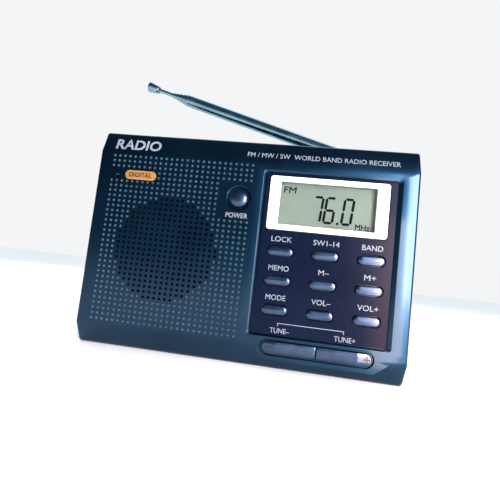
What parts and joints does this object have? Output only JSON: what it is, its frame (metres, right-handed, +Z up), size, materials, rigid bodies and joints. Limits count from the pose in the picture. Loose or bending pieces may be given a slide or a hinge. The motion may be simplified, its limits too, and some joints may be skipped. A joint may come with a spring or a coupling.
{
  "type": "shortwave receiver",
  "caption": "Pocket digital world-band receiver with dotted speaker grille, keypad panel, LCD, tuning bar, rear kickstand, battery door and telescopic rod antenna.",
  "frame": {"origin": "centre of the case's footprint on the surface it stands on", "axes": "+X to the right seen from the front, +Y from the keys to the rear, +Z up"},
  "size_m": [0.1436, 0.031, 0.1375],
  "materials": {
    "case_abs": "glossy dark navy moulded ABS",
    "panel_gloss": "polished dark navy panel",
    "key_abs": "glossy navy-grey keys",
    "bezel_white": "white ABS",
    "window_clear": "clear acrylic",
    "lcd": "grey-green liquid crystal glass",
    "badge_amber": "amber lacquered badge",
    "led_dark": "dark lens, unlit",
    "silicone": "grey silicone",
    "circuit_board": "green solder mask",
    "speaker_paper": "black paper and cloth",
    "speaker_steel": "tinned pressed steel",
    "ferrite": "sintered ferrite",
    "copper_wire": "lacquered copper winding",
    "socket_black": "black moulded socket",
    "cell_sleeve": "shrink sleeve",
    "zinc_steel": "zinc plated steel",
    "antenna_chrome": "chrome plated brass tube"
  },
  "bodies": {
    "case": {"front_cabinet": "case_abs", "rear_cabinet": "case_abs", "keypad_panel": "panel_gloss", "display_bezel": "bezel_white", "display_window": "window_clear", "lcd_glass": "lcd", "lcd_light_guide": "window_clear", "lcd_connector_strip": "silicone", "key_board": "circuit_board", "keypad_membrane": "silicone", "badge_plate": "badge_amber", "tuning_led": "led_dark", "speaker_cloth": "speaker_paper", "speaker_basket": "speaker_steel", "speaker_cone": "speaker_paper", "speaker_magnet": "ferrite", "speaker_lead": "silicone", "main_board": "circuit_board", "tuner_can": "speaker_steel", "smoothing_capacitor": "cell_sleeve", "ferrite_rod": "ferrite", "ferrite_coil": "copper_wire", "headphone_jack": "socket_black", "dc_jack": "socket_black", "battery_cell_1": "cell_sleeve", "battery_cell_2": "cell_sleeve", "battery_cell_3": "cell_sleeve", "battery_terminal_plus": "zinc_steel", "battery_terminal_minus": "zinc_steel", "battery_link_left": "zinc_steel", "battery_link_right": "zinc_steel", "case_screw_1": "zinc_steel", "case_screw_2": "zinc_steel", "case_screw_3": "zinc_steel", "case_screw_4": "zinc_steel", "kickstand_pin": "zinc_steel"},
    "door": {"battery_door": "case_abs"},
    "stand": {"kickstand": "case_abs"},
    "antenna_swivel_base": {"antenna_base": "antenna_chrome", "antenna_hinge_pin": "zinc_steel"},
    "antenna_tube_1": {"antenna_knuckle": "antenna_chrome", "antenna_section_1": "antenna_chrome"},
    "antenna_tube_2": {"antenna_section_2": "antenna_chrome"},
    "antenna_tube_3": {"antenna_section_3": "antenna_chrome"},
    "antenna_tube_4": {"antenna_section_4": "antenna_chrome"},
    "antenna_tube_5": {"antenna_section_5": "antenna_chrome"},
    "antenna_tube_6": {"antenna_section_6": "antenna_chrome", "antenna_tip": "antenna_chrome"},
    "key_lock_cap": {"key_lock": "key_abs"},
    "key_short_wave_cap": {"key_short_wave": "key_abs"},
    "key_band_cap": {"key_band": "key_abs"},
    "key_memory_cap": {"key_memory": "key_abs"},
    "key_memory_down_cap": {"key_memory_down": "key_abs"},
    "key_memory_up_cap": {"key_memory_up": "key_abs"},
    "key_mode_cap": {"key_mode": "key_abs"},
    "key_volume_down_cap": {"key_volume_down": "key_abs"},
    "key_volume_up_cap": {"key_volume_up": "key_abs"},
    "power_key_cap": {"power_key": "key_abs"},
    "tune_down_key_cap": {"tune_down_key": "key_abs"},
    "tune_up_key_cap": {"tune_up_key": "key_abs"}
  },
  "joints": [
    {"name": "key_lock_press", "type": "slide", "parent": "case", "child": "key_lock_cap", "axis": [0, 1, 0], "range_m": [0, 0.0007], "stiffness_N_per_m": 800, "springref_m": -0.0003},
    {"name": "key_short_wave_press", "type": "slide", "parent": "case", "child": "key_short_wave_cap", "axis": [0, 1, 0], "range_m": [0, 0.0007], "stiffness_N_per_m": 800, "springref_m": -0.0003},
    {"name": "key_band_press", "type": "slide", "parent": "case", "child": "key_band_cap", "axis": [0, 1, 0], "range_m": [0, 0.0007], "stiffness_N_per_m": 800, "springref_m": -0.0003},
    {"name": "key_memory_press", "type": "slide", "parent": "case", "child": "key_memory_cap", "axis": [0, 1, 0], "range_m": [0, 0.0007], "stiffness_N_per_m": 800, "springref_m": -0.0003},
    {"name": "key_memory_down_press", "type": "slide", "parent": "case", "child": "key_memory_down_cap", "axis": [0, 1, 0], "range_m": [0, 0.0007], "stiffness_N_per_m": 800, "springref_m": -0.0003},
    {"name": "key_memory_up_press", "type": "slide", "parent": "case", "child": "key_memory_up_cap", "axis": [0, 1, 0], "range_m": [0, 0.0007], "stiffness_N_per_m": 800, "springref_m": -0.0003},
    {"name": "key_mode_press", "type": "slide", "parent": "case", "child": "key_mode_cap", "axis": [0, 1, 0], "range_m": [0, 0.0007], "stiffness_N_per_m": 800, "springref_m": -0.0003},
    {"name": "key_volume_down_press", "type": "slide", "parent": "case", "child": "key_volume_down_cap", "axis": [0, 1, 0], "range_m": [0, 0.0007], "stiffness_N_per_m": 800, "springref_m": -0.0003},
    {"name": "key_volume_up_press", "type": "slide", "parent": "case", "child": "key_volume_up_cap", "axis": [0, 1, 0], "range_m": [0, 0.0007], "stiffness_N_per_m": 800, "springref_m": -0.0003},
    {"name": "power_key_press", "type": "slide", "parent": "case", "child": "power_key_cap", "axis": [0, 1, 0], "range_m": [0, 0.0007], "stiffness_N_per_m": 800, "springref_m": -0.0003},
    {"name": "tune_down_key_press", "type": "slide", "parent": "case", "child": "tune_down_key_cap", "axis": [0, 1, 0], "range_m": [0, 0.0007], "stiffness_N_per_m": 800, "springref_m": -0.0003},
    {"name": "tune_up_key_press", "type": "slide", "parent": "case", "child": "tune_up_key_cap", "axis": [0, 1, 0], "range_m": [0, 0.0007], "stiffness_N_per_m": 800, "springref_m": -0.0003},
    {"name": "antenna_swivel", "type": "hinge", "parent": "case", "child": "antenna_swivel_base", "pos_m": [0.0645, 0.0085, 0.091], "axis": [0, 0, -1], "range_deg": [0, 180]},
    {"name": "antenna_tilt", "type": "hinge", "parent": "antenna_swivel_base", "child": "antenna_tube_1", "pos_m": [0.0645, 0.0085, 0.09655], "axis": [0, 1, 0], "range_deg": [-16.6, 73.4]},
    {"name": "antenna_slide_2", "type": "slide", "parent": "antenna_tube_1", "child": "antenna_tube_2", "axis": [-0.9583, 0, 0.2857], "range_m": [0, 0.094]},
    {"name": "antenna_slide_3", "type": "slide", "parent": "antenna_tube_2", "child": "antenna_tube_3", "axis": [-0.9583, 0, 0.2857], "range_m": [0, 0.094]},
    {"name": "antenna_slide_4", "type": "slide", "parent": "antenna_tube_3", "child": "antenna_tube_4", "axis": [-0.9583, 0, 0.2857], "range_m": [0, 0.094]},
    {"name": "antenna_slide_5", "type": "slide", "parent": "antenna_tube_4", "child": "antenna_tube_5", "axis": [-0.9583, 0, 0.2857], "range_m": [0, 0.094]},
    {"name": "antenna_slide_6", "type": "slide", "parent": "antenna_tube_5", "child": "antenna_tube_6", "axis": [-0.9583, 0, 0.2857], "range_m": [-0.006, 0.094]},
    {"name": "kickstand_hinge", "type": "hinge", "parent": "case", "child": "stand", "pos_m": [0, 0.0139, 0.063], "axis": [1, 0, 0], "range_deg": [0, 50]},
    {"name": "battery_door_slide", "type": "slide", "parent": "case", "child": "door", "axis": [1, 0, 0], "range_m": [0, 0.054]}
  ]
}
